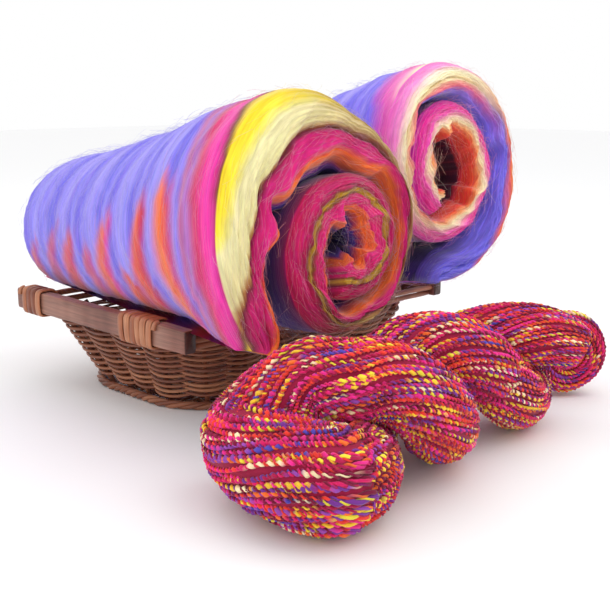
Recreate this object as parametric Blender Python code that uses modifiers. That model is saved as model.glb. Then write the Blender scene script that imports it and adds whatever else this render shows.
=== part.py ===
"""Wicker basket with wooden handle bars, two rolled wool batts and a twisted skein of yarn.

Metres, +Z up. The origin is the centre of the basket's underside. X runs along the basket's
long side, and Y across it. Each separate physical piece is one named object.
"""

import math

import bmesh
import bpy
from mathutils import Vector

# ---- driving dimensions, in metres ----
GAP = 0.0003  # left between pieces that touch

BASE_LINE = (0.240, 0.166, 0.052)  # stake line at the foot: length, width, corner radius
RIM_LINE = (0.312, 0.240, 0.062)  # stake line at the top of the wall
WALL_H = 0.073
FLARE = math.atan2(0.0365, WALL_H)  # how far the wall leans out

STAKES = 23  # odd, so that each turn of a weaver passes the stakes on the other side
STAKE_R = 0.0024
STAKE_LOW, STAKE_TOP = 0.0016, 0.0688

WEAVERS = 10
WEAVER_TURNS = 2
ROW_FIRST, ROW_PITCH = 0.0112, 0.0028
WEAVER_R = 0.00125
WEAVE_SWING = 0.0042  # how far a rod bows to each side of the stakes
WEAVER_BUTT = 0.05  # gap between two weavers' ends, as a share of the way between two stakes

MAT_T = 0.0055
MAT_INSET = 0.0034
WALE_R = 0.0035
WALE_OUT = 0.0102
WALE_Z = 0.0038

BAR_OUT = 0.169  # outer face of a handle bar
BAR_T, BAR_H, BAR_LEN = 0.012, 0.020, 0.257
BAR_LOW = 0.071

ROD_R = 0.0030
ROD_END = 0.1565
LOWER_ROD = (0.1205, 0.0738)  # distance from the middle, and height
UPPER_ROD = (0.1240, 0.0803)
END_ROD = (0.1537, 0.0820, 0.1200)  # distance out, height, half length

LASH_T = 0.0022
LASH_BULGE = 0.0008
LASH_FRONT = (-0.088, -0.042, 6)  # start, end, turns
LASH_BACK = (0.084, 0.116, 4)

BATT_TURNS = 1.8
# How a web is rolled, for a roll of radius 1: turning way, starting angle in degrees, where the
# inner roll lies (across, up), and its radius where it starts and where it ends.
WIND_LEFT = (-1, -120, 0.30, -0.26, 0.69, 0.15)
WIND_RIGHT = (1, -105, 0.03, 0.05, 0.56, 0.22)
BATT_GAP = 0.002
BATT_SAMPLES = 44
# Stations along a batt: y, centre x, centre z, radius.
BATT_LEFT = (
    (-0.226, -0.108, 0.1835, 0.0910),
    (-0.214, -0.108, 0.1830, 0.1000),
    (-0.150, -0.105, 0.1760, 0.0915),
    (-0.070, -0.103, 0.1660, 0.0820),
    (0.020, -0.103, 0.1570, 0.0730),
    (0.112, -0.104, 0.1525, 0.0660),
    (0.134, -0.104, 0.1500, 0.0550),
)
BATT_RIGHT = (
    (-0.202, 0.104, 0.2030, 0.0930),
    (-0.190, 0.104, 0.2025, 0.1010),
    (-0.120, 0.101, 0.1880, 0.0930),
    (-0.050, 0.099, 0.1750, 0.0840),
    (0.030, 0.098, 0.1620, 0.0760),
    (0.108, 0.098, 0.1535, 0.0665),
    (0.130, 0.098, 0.1510, 0.0550),
)

# Stations along the twisted hank, from the fold: x, y, radius of one of its two strands.
HANK_LINE = (
    (-0.2082, -0.2895, 0.0359),
    (-0.1701, -0.3084, 0.0284),
    (-0.0848, -0.2950, 0.0284),
    (-0.0039, -0.2788, 0.0269),
    (0.0822, -0.3117, 0.0257),
)
HANK_SPREAD = 0.0010  # each strand's middle lies this much further out than its radius
HANK_PITCH = 0.2108
HANK_PHASE = 3.30  # where around the hank's middle line the first strand starts
HANK_FOLD = 0.020  # how far the strands run on before they turn back into each other
HANK_RISE = 0.1034  # share of the length over which the flat fold lifts into the twist
LOOP_CENTRE = (0.1561, -0.2802, 0.0410)
LOOP_MAJOR, LOOP_MINOR = 0.0231, 0.0159


# ---- shared helpers ----
def material(name, colour, roughness):
    mat = bpy.data.materials.new(name)
    mat.use_nodes = True
    shader = mat.node_tree.nodes["Principled BSDF"]
    shader.inputs["Base Color"].default_value = (*colour, 1.0)
    shader.inputs["Roughness"].default_value = roughness
    return mat


def add_object(name, data, mat):
    obj = bpy.data.objects.new(name, data)
    obj.data.materials.append(mat)
    parts.objects.link(obj)
    return obj


def rod(name, points, radius, mat, closed=False, resolution=1):
    """A round rod along straight runs between the points."""
    curve = bpy.data.curves.new(name, "CURVE")
    curve.dimensions = "3D"
    curve.bevel_depth = radius
    curve.bevel_resolution = resolution
    curve.use_fill_caps = not closed
    spline = curve.splines.new("POLY")
    spline.points.add(len(points) - 1)
    for point, place in zip(spline.points, points):
        point.co = (*place, 1.0)
    spline.use_cyclic_u = closed
    return add_object(name, curve, mat)


def ring_mesh(name, rings, mat, closed=False):
    """A solid skin over rings of equal point counts, with flat ends unless it is closed."""
    mesh = bmesh.new()
    loops = [[mesh.verts.new(p) for p in ring] for ring in rings]
    pairs = list(zip(loops, loops[1:]))
    if closed:
        pairs.append((loops[-1], loops[0]))
    for first, second in pairs:
        count = len(first)
        for i in range(count):
            j = (i + 1) % count
            mesh.faces.new((first[i], first[j], second[j], second[i]))
    if not closed:
        mesh.faces.new(loops[0][::-1])
        mesh.faces.new(loops[-1])
    bmesh.ops.recalc_face_normals(mesh, faces=mesh.faces)
    data = bpy.data.meshes.new(name)
    mesh.to_mesh(data)
    mesh.free()
    return add_object(name, data, mat)


def rounded_outline(line, share):
    """Point and outward direction on a rounded rectangle, at a share of the way round it."""
    length, width, radius = line
    mid = [(a + b) / 2 for a, b in zip(BASE_LINE, RIM_LINE)]
    runs = (mid[0] - 2 * mid[2], mid[2] * math.pi / 2, mid[1] - 2 * mid[2], mid[2] * math.pi / 2)
    travel = (share % 1.0) * 2 * sum(runs)
    side = 0
    while travel > runs[side % 4]:
        travel -= runs[side % 4]
        side += 1
    part = travel / runs[side % 4]
    half_x, half_y = length / 2 - radius, width / 2 - radius
    corners = ((half_x, -half_y), (half_x, half_y), (-half_x, half_y), (-half_x, -half_y))
    corner = corners[(side // 2) % 4]
    if side % 2:
        angle = math.radians(-90 + 90 * (side // 2) + 90 * part)
        out = Vector((math.cos(angle), math.sin(angle)))
        return Vector(corner) + radius * out, out
    angle = math.radians(-90 + 90 * (side // 2))
    out = Vector((math.cos(angle), math.sin(angle)))
    start = Vector(corners[(side // 2 - 1) % 4])
    return start.lerp(Vector(corner), part) + radius * out, out


def wall_point(share, height, off=0.0):
    """A point of the wall, at a height on the stakes and then off it along the wall's normal."""
    t = height / WALL_H
    line = [a + (b - a) * t for a, b in zip(BASE_LINE, RIM_LINE)]
    place, out = rounded_outline(line, share)
    place = place + out * math.cos(FLARE) * off
    return Vector((place.x, place.y, height - math.sin(FLARE) * off))


def outset_ring(line, outset, samples, height):
    return [
        Vector((*(p + out * outset), height))
        for p, out in (rounded_outline(line, i / samples) for i in range(samples))
    ]


# ---- basket ----
def build_wall():
    for j in range(STAKES):
        share = j / STAKES
        ends = [wall_point(share, STAKE_LOW), wall_point(share, STAKE_TOP)]
        rod(f"stake_{j + 1:02d}", ends, STAKE_R, wicker)
    for k in range(WEAVERS):
        steps = 2 * STAKES * WEAVER_TURNS
        points = []
        for i in range(steps + 1):
            along = i / 2
            if i == 0:
                along = WEAVER_BUTT
            if i == steps:
                along -= WEAVER_BUTT
            turn = along / STAKES
            swing = 0.0 if i % 2 else WEAVE_SWING * (-1) ** (i // 2 + 1)
            height = ROW_FIRST + ROW_PITCH * (WEAVER_TURNS * k + turn)
            points.append(wall_point(turn, height, swing))
        rod(f"weaver_{k + 1:02d}", points, WEAVER_R, wicker)


def build_foot():
    rings = [outset_ring(BASE_LINE, -MAT_INSET, 44, z) for z in (0.0, MAT_T)]
    ring_mesh("base_mat", rings, wicker)
    rod("foot_wale", outset_ring(BASE_LINE, WALE_OUT, 44, WALE_Z), WALE_R, wicker, closed=True)


def build_border():
    for side, sign in (("front", -1), ("back", 1)):
        for level, (out, height) in (("lower", LOWER_ROD), ("upper", UPPER_ROD)):
            points = [(-ROD_END, sign * out, height), (ROD_END, sign * out, height)]
            rod(f"border_{side}_{level}", points, ROD_R, wicker, resolution=2)
    for side, sign in (("left", -1), ("right", 1)):
        out, height, half = END_ROD
        points = [(sign * out, -half, height), (sign * out, half, height)]
        rod(f"border_end_{side}", points, ROD_R, wicker, resolution=2)


def build_bars():
    for side, sign in (("left", -1), ("right", 1)):
        name = f"handle_bar_{side}"
        centre = Vector((sign * (BAR_OUT - BAR_T / 2), 0.0, BAR_LOW + BAR_H / 2))
        mesh = bmesh.new()
        bmesh.ops.create_cube(mesh, size=1.0)
        bmesh.ops.scale(mesh, vec=(BAR_T, BAR_LEN, BAR_H), verts=mesh.verts)
        bmesh.ops.translate(mesh, vec=centre, verts=mesh.verts)
        data = bpy.data.meshes.new(name)
        mesh.to_mesh(data)
        mesh.free()
        bar = add_object(name, data, bar_wood)
        bevel = bar.modifiers.new("Bevel", "BEVEL")
        bevel.width = 0.0016
        bevel.segments = 2


def lash_section(sign, y, grow):
    """The loop that a cane turn follows round a bar and the rod behind it."""
    bar_in = BAR_OUT - BAR_T
    low, top = BAR_LOW - GAP, BAR_LOW + BAR_H + GAP
    rod_x, rod_z, _ = END_ROD
    reach = ROD_R + GAP
    corners = (
        (BAR_OUT + GAP, low, 1, -1),
        (BAR_OUT + GAP, top, 1, 1),
        (bar_in - 0.001, top, -0.4, 1),
        (rod_x - reach, rod_z + 0.0022, -1, 0.35),
        (rod_x - reach, rod_z - 0.0022, -1, -0.35),
        (bar_in - 0.001, low, -0.4, -1),
    )
    return [(sign * (x + grow * dx), y, z + grow * dz) for x, z, dx, dz in corners]


def build_lashings():
    for side, sign in (("left", -1), ("right", 1)):
        for place, (start, end, turns) in (("front", LASH_FRONT), ("back", LASH_BACK)):
            step = (end - start) / (2 * turns)
            rings = []
            for i in range(2 * turns + 1):
                thick = LASH_T + (LASH_BULGE if i % 2 else -LASH_BULGE)
                rings.append(lash_section(sign, start + i * step, thick))
            rings.append(lash_section(sign, end, 0.0))
            rings.append(lash_section(sign, start, 0.0))
            ring_mesh(f"lashing_{side}_{place}", rings, cane, closed=True)


# ---- rolled batts ----
def spiral_edge(turn, wind):
    """A turn of the web's outer edge, for a roll of radius 1: x, z and the outward direction.

    The first turn is the wide outer wrap. The rest is a tighter roll.
    """
    way, start, shift_x, shift_z, outer, inner = wind
    ease = min(max((turn - 0.40) / 0.62, 0.0), 1.0)
    ease = ease * ease * (3 - 2 * ease)
    radius = 1.0 - (1.0 - outer) * ease - (outer - inner) * max(0.0, turn - 1.0) / BATT_TURNS
    angle = math.radians(start) + way * 2 * math.pi * turn
    across, up = math.cos(angle), math.sin(angle)
    return shift_x * ease + radius * across, shift_z * ease + radius * up, across, up


def build_batt(name, stations, wind, mat):
    """One web rolled up on itself, open down the middle: a skin over spiral sections."""
    mesh = bmesh.new()
    sections = []
    for y, cx, cz, radius in stations:
        outer, inner = [], []
        for i in range(BATT_SAMPLES + 1):
            turn = BATT_TURNS * i / BATT_SAMPLES
            x, z, _, _ = spiral_edge(turn, wind)
            outer.append(mesh.verts.new((cx + radius * x, y, cz + radius * z)))
            x, z, dx, dz = spiral_edge(turn + 1.0, wind)
            inset = (cx + radius * x + BATT_GAP * dx, y, cz + radius * z + BATT_GAP * dz)
            inner.append(mesh.verts.new(inset))
        sections.append((outer, inner))
    for (outer_a, inner_a), (outer_b, inner_b) in zip(sections, sections[1:]):
        loop_a, loop_b = outer_a + inner_a[::-1], outer_b + inner_b[::-1]
        for i in range(len(loop_a)):
            j = (i + 1) % len(loop_a)
            mesh.faces.new((loop_a[i], loop_a[j], loop_b[j], loop_b[i]))
    for outer, inner in (sections[0], sections[-1]):
        for i in range(BATT_SAMPLES):
            mesh.faces.new((outer[i], outer[i + 1], inner[i + 1], inner[i]))
    bmesh.ops.recalc_face_normals(mesh, faces=mesh.faces)
    data = bpy.data.meshes.new(name)
    mesh.to_mesh(data)
    mesh.free()
    return add_object(name, data, mat)


# ---- skein ----
def hank_station(t, turn):
    """Middle of one strand and its radius, at a share of the way from the fold to the end."""
    total = sum((Vector(b[:2]) - Vector(a[:2])).length for a, b in zip(HANK_LINE, HANK_LINE[1:]))
    travel = t * total
    for here, there in zip(HANK_LINE, HANK_LINE[1:]):
        run = (Vector(there[:2]) - Vector(here[:2])).length
        if travel <= run or there is HANK_LINE[-1]:
            break
        travel -= run
    x, y, radius = Vector(here).lerp(Vector(there), travel / run)
    angle = HANK_PHASE + turn + 2 * math.pi * (x - HANK_LINE[0][0]) / HANK_PITCH
    reach = radius + HANK_SPREAD
    height = GAP + radius + reach * max(abs(math.sin(angle)), min(1.0, t / HANK_RISE))
    return Vector((x, y + reach * math.cos(angle), height + reach * math.sin(angle))), radius


def tube_rings(points, radii, sides):
    """Rings of points square to a path, turned as little as the path allows."""
    rings = []
    across = None
    for i, point in enumerate(points):
        ahead = points[min(i + 1, len(points) - 1)] - points[max(i - 1, 0)]
        ahead.normalize()
        if across is None:
            across = ahead.orthogonal().normalized()
        across = (across - ahead * across.dot(ahead)).normalized()
        other = ahead.cross(across)
        ring = []
        for k in range(sides):
            angle = 2 * math.pi * k / sides
            ring.append(point + radii[i] * (math.cos(angle) * across + math.sin(angle) * other))
        rings.append(ring)
    return rings


def build_skein():
    steps = 32
    shares = [i / steps for i in range(steps + 1)]
    near = [hank_station(t, 0.0) for t in reversed(shares)]
    far = [hank_station(t, math.pi) for t in shares]
    start, end = near[-1][0], far[0][0]
    radius = far[0][1]
    ahead = Vector((-1.4053, -0.7872, 0.0))
    leave = start + ((start - near[-2][0]).normalized() + ahead).normalized() * HANK_FOLD
    arrive = end + ((end - far[1][0]).normalized() + ahead).normalized() * HANK_FOLD
    fold = []
    for i in range(1, 12):
        t = i / 12
        first, second = start.lerp(leave, t), leave.lerp(arrive, t)
        third = arrive.lerp(end, t)
        place = first.lerp(second, t).lerp(second.lerp(third, t), t)
        place.z = max(place.z, radius + GAP)
        fold.append((place, radius))
    points, radii = zip(*(near + fold + far))
    radii = list(radii)
    for i, share in enumerate((0.72, 0.86, 0.95)):
        radii[i] *= share
        radii[-1 - i] *= share
    ring_mesh("skein_hank", tube_rings(points, radii, 14), yarn)

    centre = Vector(LOOP_CENTRE)
    across = Vector((0.80, -0.60, 0.0))
    rings = []
    for i in range(24):
        angle = 2 * math.pi * i / 24
        out = across * math.cos(angle) + Vector((0.0, 0.0, 1.0)) * math.sin(angle)
        side = out.cross(across.cross(Vector((0.0, 0.0, 1.0))))
        axis = side.cross(out)
        ring = []
        for k in range(12):
            tilt = 2 * math.pi * k / 12
            ring.append(
                centre
                + out * (LOOP_MAJOR + LOOP_MINOR * math.cos(tilt))
                + axis * LOOP_MINOR * math.sin(tilt)
            )
        rings.append(ring)
    ring_mesh("skein_end_loop", rings, yarn, closed=True)


# ---- scene ----
for old in list(bpy.data.objects):
    bpy.data.objects.remove(old, do_unlink=True)

parts = bpy.data.collections.new("wicker_basket_with_batts_and_skein")
bpy.context.scene.collection.children.link(parts)

wicker = material("wicker", (0.30, 0.13, 0.07), 0.55)
bar_wood = material("bar_wood", (0.22, 0.11, 0.07), 0.45)
cane = material("cane", (0.50, 0.24, 0.12), 0.40)
wool_left = material("wool_left", (0.36, 0.33, 0.78), 0.95)
wool_right = material("wool_right", (0.75, 0.20, 0.50), 0.95)
yarn = material("yarn", (0.62, 0.08, 0.18), 0.90)

build_foot()
build_wall()
build_border()
build_bars()
build_lashings()
build_batt("batt_left", BATT_LEFT, WIND_LEFT, wool_left)
build_batt("batt_right", BATT_RIGHT, WIND_RIGHT, wool_right)
build_skein()
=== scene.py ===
"""The looks of the wicker basket, its two rolled wool batts and the twisted skein of yarn."""
import math

import bpy
import numpy as np
from mathutils import Matrix, Vector


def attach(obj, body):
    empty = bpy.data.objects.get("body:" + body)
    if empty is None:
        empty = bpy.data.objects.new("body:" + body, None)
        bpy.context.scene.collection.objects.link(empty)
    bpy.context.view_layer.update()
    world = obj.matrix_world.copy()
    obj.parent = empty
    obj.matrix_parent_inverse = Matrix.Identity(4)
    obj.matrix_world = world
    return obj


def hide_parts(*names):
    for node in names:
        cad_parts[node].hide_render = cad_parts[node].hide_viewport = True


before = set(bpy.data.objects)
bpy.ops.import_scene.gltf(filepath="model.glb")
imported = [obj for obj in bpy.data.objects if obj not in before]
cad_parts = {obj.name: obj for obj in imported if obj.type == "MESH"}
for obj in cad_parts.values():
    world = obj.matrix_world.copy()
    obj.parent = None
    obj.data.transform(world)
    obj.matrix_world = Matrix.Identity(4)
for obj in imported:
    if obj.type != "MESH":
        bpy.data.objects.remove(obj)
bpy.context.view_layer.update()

TAU = 2 * math.pi


# ---------------------------------------------------------------- helpers
def srgb(*rgb):
    """Linear colour from 0-255 values."""
    c = np.asarray(rgb, float) / 255
    return np.where(c <= 0.04045, c / 12.92, ((c + 0.055) / 1.055) ** 2.4)


def grid_faces(rows, cols, wrap_rows=False, wrap_cols=True):
    r = np.arange(rows if wrap_rows else rows - 1)
    c = np.arange(cols if wrap_cols else cols - 1)
    r, c = np.meshgrid(r, c, indexing="ij")
    r2, c2 = (r + 1) % rows, (c + 1) % cols
    return np.stack([r * cols + c, r * cols + c2, r2 * cols + c2, r2 * cols + c], -1).reshape(-1, 4)


def face_out(verts, faces, caps):
    """The same closed skin with its faces turned outwards."""
    v = np.asarray(verts, float).reshape(-1, 3)
    v = v - v.mean(0)
    f = np.asarray(faces)
    a, b, c, d = (v[f[:, k]] for k in range(4))
    volume = np.einsum("ij,ij->i", a, np.cross(b, c) + np.cross(c, d)).sum()
    for cap in caps:
        q = v[np.asarray(cap)]
        volume += np.einsum("j,ij->i", q[0], np.cross(q[1:-1], q[2:])).sum()
    if volume < 0:
        return f[:, ::-1], [np.asarray(cap)[::-1] for cap in caps]
    return f, list(caps)


def make_mesh(name, verts, faces, mat, body, colour=None, lay=None, caps=(), smooth=True):
    """A mesh object from arrays. colour is linear RGB per point, lay is a direction-following
    coordinate per point, and caps are extra polygons of point numbers."""
    verts = np.ascontiguousarray(verts, np.float32).reshape(-1, 3)
    faces = np.asarray(faces, np.int32).reshape(-1, 4)
    if not len(caps) or len(caps) == 2:
        faces, caps = face_out(verts, faces, caps)
    faces = np.ascontiguousarray(faces, np.int32)
    loops = [faces.reshape(-1)] + [np.asarray(c, np.int32) for c in caps]
    sizes = [np.full(len(faces), 4, np.int32)] + [np.array([len(c)], np.int32) for c in caps]
    loops, sizes = np.concatenate(loops), np.concatenate(sizes)
    starts = np.concatenate([[0], np.cumsum(sizes)[:-1]]).astype(np.int32)
    mesh = bpy.data.meshes.new(name)
    mesh.vertices.add(len(verts))
    mesh.vertices.foreach_set("co", verts.reshape(-1))
    mesh.loops.add(len(loops))
    mesh.loops.foreach_set("vertex_index", loops)
    mesh.polygons.add(len(sizes))
    mesh.polygons.foreach_set("loop_start", starts)
    mesh.update(calc_edges=True)
    mesh.validate()
    mesh.polygons.foreach_set("use_smooth", np.full(len(mesh.polygons), smooth))
    if colour is not None:
        layer = mesh.attributes.new("tint", "FLOAT_COLOR", "POINT")
        rgba = np.ones((len(verts), 4), np.float32)
        rgba[:, :3] = np.clip(np.asarray(colour).reshape(-1, 3), 0, 1)
        layer.data.foreach_set("color", rgba.reshape(-1))
    if lay is not None:
        layer = mesh.attributes.new("lay", "FLOAT_VECTOR", "POINT")
        layer.data.foreach_set("vector", np.asarray(lay, np.float32).reshape(-1))
    obj = bpy.data.objects.new(name, mesh)
    bpy.context.scene.collection.objects.link(obj)
    obj.data.materials.append(mat)
    if body:
        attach(obj, body)
    return obj


class Pile:
    """Gathers many small pieces into one mesh."""

    def __init__(self):
        self.verts, self.faces, self.colour, self.lay, self.caps, self.count = [], [], [], [], [], 0

    def add(self, verts, faces, colour, lay, caps=()):
        verts = np.asarray(verts).reshape(-1, 3)
        faces, caps = face_out(verts, faces, caps)
        colour = np.broadcast_to(np.asarray(colour).reshape(-1, 3), (len(verts), 3))
        self.verts.append(verts)
        self.faces.append(np.asarray(faces) + self.count)
        self.colour.append(colour)
        self.lay.append(np.asarray(lay).reshape(-1, 3))
        self.caps += [np.asarray(c) + self.count for c in caps]
        self.count += len(verts)

    def build(self, name, mat, body):
        return make_mesh(name, np.concatenate(self.verts), np.concatenate(self.faces), mat, body,
                         np.concatenate(self.colour), np.concatenate(self.lay), self.caps)


def frames(points, closed=False):
    """Unit tangents and a pair of cross directions that turn as little as the path allows."""
    p = np.asarray(points, float)
    if closed:
        t = np.roll(p, -1, 0) - np.roll(p, 1, 0)
    else:
        t = np.gradient(p, axis=0)
    t /= np.linalg.norm(t, axis=1)[:, None] + 1e-12
    a = np.zeros_like(t)
    first = np.cross(t[0], (0, 0, 1.0))
    if np.linalg.norm(first) < 0.1:
        first = np.cross(t[0], (1.0, 0, 0))
    a[0] = first / np.linalg.norm(first)
    for i in range(1, len(p)):
        v = a[i - 1] - t[i] * a[i - 1].dot(t[i])
        a[i] = v / (np.linalg.norm(v) + 1e-12)
    return t, a, np.cross(t, a)


def tube(points, radii, sides=8, closed=False):
    """Points, faces, caps and lay of a round rod; radii may be one value or one per point."""
    p = np.asarray(points, float)
    t, a, b = frames(p, closed)
    n = len(p)
    ang = TAU * np.arange(sides) / sides
    r = np.broadcast_to(np.asarray(radii, float), (n,))[:, None, None]
    ring = np.cos(ang)[None, :, None] * a[:, None] + np.sin(ang)[None, :, None] * b[:, None]
    verts = p[:, None] + r * ring
    step = np.linalg.norm(np.diff(p, axis=0), axis=1)
    along = np.concatenate([[0], np.cumsum(step)])
    lay = np.empty((n, sides, 3))
    lay[..., 0] = along[:, None]
    lay[..., 1] = np.cos(ang)[None] * r[..., 0]
    lay[..., 2] = np.sin(ang)[None] * r[..., 0]
    caps = () if closed else (np.arange(sides)[::-1], (n - 1) * sides + np.arange(sides))
    return verts.reshape(-1, 3), grid_faces(n, sides, closed), caps, lay.reshape(-1, 3)


def smooth_path(points, count, closed=False):
    """Catmull-Rom curve through points, at even parameter steps."""
    p = np.asarray(points, float)
    n = len(p)
    span = n if closed else n - 1
    u = np.linspace(0, span, count, endpoint=not closed)
    i = np.minimum(u.astype(int), span - 1)
    f = (u - i)[:, None]
    if closed:
        k = [p[(i + d) % n] for d in (-1, 0, 1, 2)]
    else:
        k = [p[np.clip(i + d, 0, n - 1)] for d in (-1, 0, 1, 2)]
    return 0.5 * (2 * k[1] + (k[2] - k[0]) * f + (2 * k[0] - 5 * k[1] + 4 * k[2] - k[3]) * f ** 2
                  + (3 * k[1] - k[0] - 3 * k[2] + k[3]) * f ** 3)


def wander(u, seed, waves=(1, 2, 3, 5, 8), fall=0.8):
    """A smooth wandering value of about -1 to 1 along u."""
    rng = np.random.default_rng(seed)
    out = np.zeros_like(np.asarray(u, float))
    total = 0.0
    for w in waves:
        amp = w ** -fall
        out = out + amp * np.sin(TAU * (w * u * (0.8 + 0.4 * rng.random()) + rng.random()))
        total += amp
    return out / total * 1.6


def ramp(x, stops):
    """Linear colour at x from a list of (place, (r, g, b)) stops in 0-255."""
    at = np.array([s[0] for s in stops])
    cols = np.array([srgb(*s[1]) for s in stops])
    return np.stack([np.interp(x, at, cols[:, k]) for k in range(3)], -1)


def mix(a, b, f):
    f = np.asarray(f)[..., None]
    return a * (1 - f) + b * f


def smoothstep(x, low, high):
    t = np.clip((x - low) / (high - low), 0, 1)
    return t * t * (3 - 2 * t)


# ---------------------------------------------------------------- materials
def node(tree, kind, **inputs):
    n = tree.nodes.new(kind)
    for key, value in inputs.items():
        setattr(n, key, value)
    return n


def fibre_material(name, rough, sheen, scale, stretch, contrast, bump, distance, hue=0.0, detail=3.0):
    """Colour from the piece's own tint, broken up by fine streaks that follow its lay."""
    mat = bpy.data.materials.new(name)
    mat.use_nodes = True
    tree = mat.node_tree
    link = tree.links.new
    shader = tree.nodes["Principled BSDF"]
    tint = node(tree, "ShaderNodeAttribute", attribute_name="tint")
    lay = node(tree, "ShaderNodeAttribute", attribute_name="lay")
    place = node(tree, "ShaderNodeMapping")
    place.inputs["Scale"].default_value = (scale / stretch, scale, scale)
    link(lay.outputs["Vector"], place.inputs["Vector"])
    fine = node(tree, "ShaderNodeTexNoise")
    fine.inputs["Scale"].default_value = 1.0
    fine.inputs["Detail"].default_value = detail
    fine.inputs["Roughness"].default_value = 0.65
    link(place.outputs["Vector"], fine.inputs["Vector"])
    spread = node(tree, "ShaderNodeMapRange")
    spread.inputs["From Min"].default_value = 0.28
    spread.inputs["From Max"].default_value = 0.72
    spread.inputs["To Min"].default_value = 1.0 - contrast
    spread.inputs["To Max"].default_value = 1.0 + contrast
    link(fine.outputs["Fac"], spread.inputs["Value"])
    shift = node(tree, "ShaderNodeHueSaturation")
    shift.inputs["Saturation"].default_value = 1.0
    link(spread.outputs["Result"], shift.inputs["Value"])
    link(tint.outputs["Color"], shift.inputs["Color"])
    if hue:
        turn = node(tree, "ShaderNodeMapRange")
        turn.inputs["From Min"].default_value = 0.25
        turn.inputs["From Max"].default_value = 0.75
        turn.inputs["To Min"].default_value = 0.5 - hue
        turn.inputs["To Max"].default_value = 0.5 + hue
        link(fine.outputs["Color"], turn.inputs["Value"])
        link(turn.outputs["Result"], shift.inputs["Hue"])
    link(shift.outputs["Color"], shader.inputs["Base Color"])
    shader.inputs["Roughness"].default_value = rough
    shader.inputs["Sheen Weight"].default_value = sheen
    shader.inputs["Sheen Roughness"].default_value = 0.45
    shader.inputs["Specular IOR Level"].default_value = 0.15 if sheen else 0.45
    lift = node(tree, "ShaderNodeBump")
    lift.inputs["Strength"].default_value = bump
    lift.inputs["Distance"].default_value = distance
    link(fine.outputs["Fac"], lift.inputs["Height"])
    link(lift.outputs["Normal"], shader.inputs["Normal"])
    return mat


wool_mat = fibre_material("wool", 0.95, 0.35, 700.0, 45.0, 0.16, 0.55, 0.0016, hue=0.02)
yarn_mat = fibre_material("yarn", 0.85, 0.25, 2600.0, 14.0, 0.22, 0.5, 0.0005)
wicker_mat = fibre_material("wicker", 0.42, 0.0, 900.0, 22.0, 0.32, 0.35, 0.0004)
cane_mat = fibre_material("cane", 0.38, 0.0, 1100.0, 30.0, 0.26, 0.3, 0.0003)
wood_mat = fibre_material("bar_wood", 0.40, 0.0, 420.0, 26.0, 0.38, 0.35, 0.0005)


# ---------------------------------------------------------------- basket
BASE_LINE = (0.240, 0.166, 0.052)
RIM_LINE = (0.312, 0.240, 0.062)
WALL_H = 0.073
FLARE = math.atan2(0.0365, WALL_H)
STAKES, WEAVERS, WEAVER_TURNS = 23, 10, 2
ROW_FIRST, ROW_PITCH = 0.0112, 0.0028
WEAVER_R, WEAVE_SWING = 0.00146, 0.0041
STAKE_R, STAKE_LOW, STAKE_TOP = 0.0024, 0.0010, 0.0695
WALE_OUT, WALE_Z, WALE_R = 0.0100, 0.0041, 0.0021
MAT_HALF, MAT_CORNER, MAT_Z = (0.1160, 0.0790), 0.048, 0.0028
MAT_STICKS, MAT_STICK_REACH, MAT_ROWS = 9, 0.098, 34
BORDER_RODS = (("lower", (0.1205, 0.0738)), ("upper", (0.1240, 0.0803)))  # y, z of each rod
BORDER_REACH, BORDER_R = 0.1563, 0.0030
END_ROD = (0.1537, 0.120, 0.0820)  # x, half length, z
BAR_CENTRE, BAR_HALF = (0.163, 0.081), (0.006, 0.010)  # x and z of a handle bar
BAR_LENGTH = 0.257


def outline(line, share):
    """Points and outward directions on a rounded rectangle, at shares of the way round it."""
    length, width, radius = line
    mid = [(a + b) / 2 for a, b in zip(BASE_LINE, RIM_LINE)]
    runs = [mid[0] - 2 * mid[2], mid[2] * math.pi / 2, mid[1] - 2 * mid[2], mid[2] * math.pi / 2] * 2
    ends = np.concatenate([[0], np.cumsum(runs)])
    travel = (np.asarray(share) % 1.0) * ends[-1]
    side = np.clip(np.searchsorted(ends, travel, side="right") - 1, 0, 7)
    part = (travel - ends[side]) / np.asarray(runs)[side]
    hx, hy = length / 2 - radius, width / 2 - radius
    corners = np.array([(hx, -hy), (hx, hy), (-hx, hy), (-hx, -hy)])
    after = corners[(side // 2) % 4]
    before = corners[(side // 2 - 1) % 4]
    straight = side % 2 == 0
    angle = np.radians(-90 + 90 * (side // 2) + np.where(straight, 0, 90 * part))
    out = np.stack([np.cos(angle), np.sin(angle)], -1)
    base = np.where(straight[:, None], before + (after - before) * part[:, None], after)
    return base + radius * out, out


def wall(share, height, off=0.0):
    share = np.atleast_1d(np.asarray(share, float))
    height = np.broadcast_to(np.asarray(height, float), share.shape)
    off = np.broadcast_to(np.asarray(off, float), share.shape)
    base, out = outline(BASE_LINE, share)
    rim, _ = outline(RIM_LINE, share)
    t = (height / WALL_H)[:, None]
    place = base + (rim - base) * t + out * (math.cos(FLARE) * off)[:, None]
    return np.column_stack([place, height - math.sin(FLARE) * off])


BAR_WOOD = [(0, (84, 48, 40)), (0.4, (128, 80, 66)), (0.7, (158, 116, 100)), (1, (186, 150, 136))]
WICKER = [(0.0, (92, 48, 36)), (0.35, (128, 72, 50)), (0.65, (158, 98, 68)), (1.0, (186, 128, 92))]


def wicker_tint(n, sides, seed, lift=0.0):
    rng = np.random.default_rng(seed)
    u = np.linspace(0, 1, n)
    tone = 0.45 + lift + 0.22 * rng.standard_normal() * 0.6 + 0.16 * wander(u * 3, seed)
    return np.repeat(ramp(np.clip(tone, 0, 1), WICKER)[:, None], sides, 1)


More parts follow.
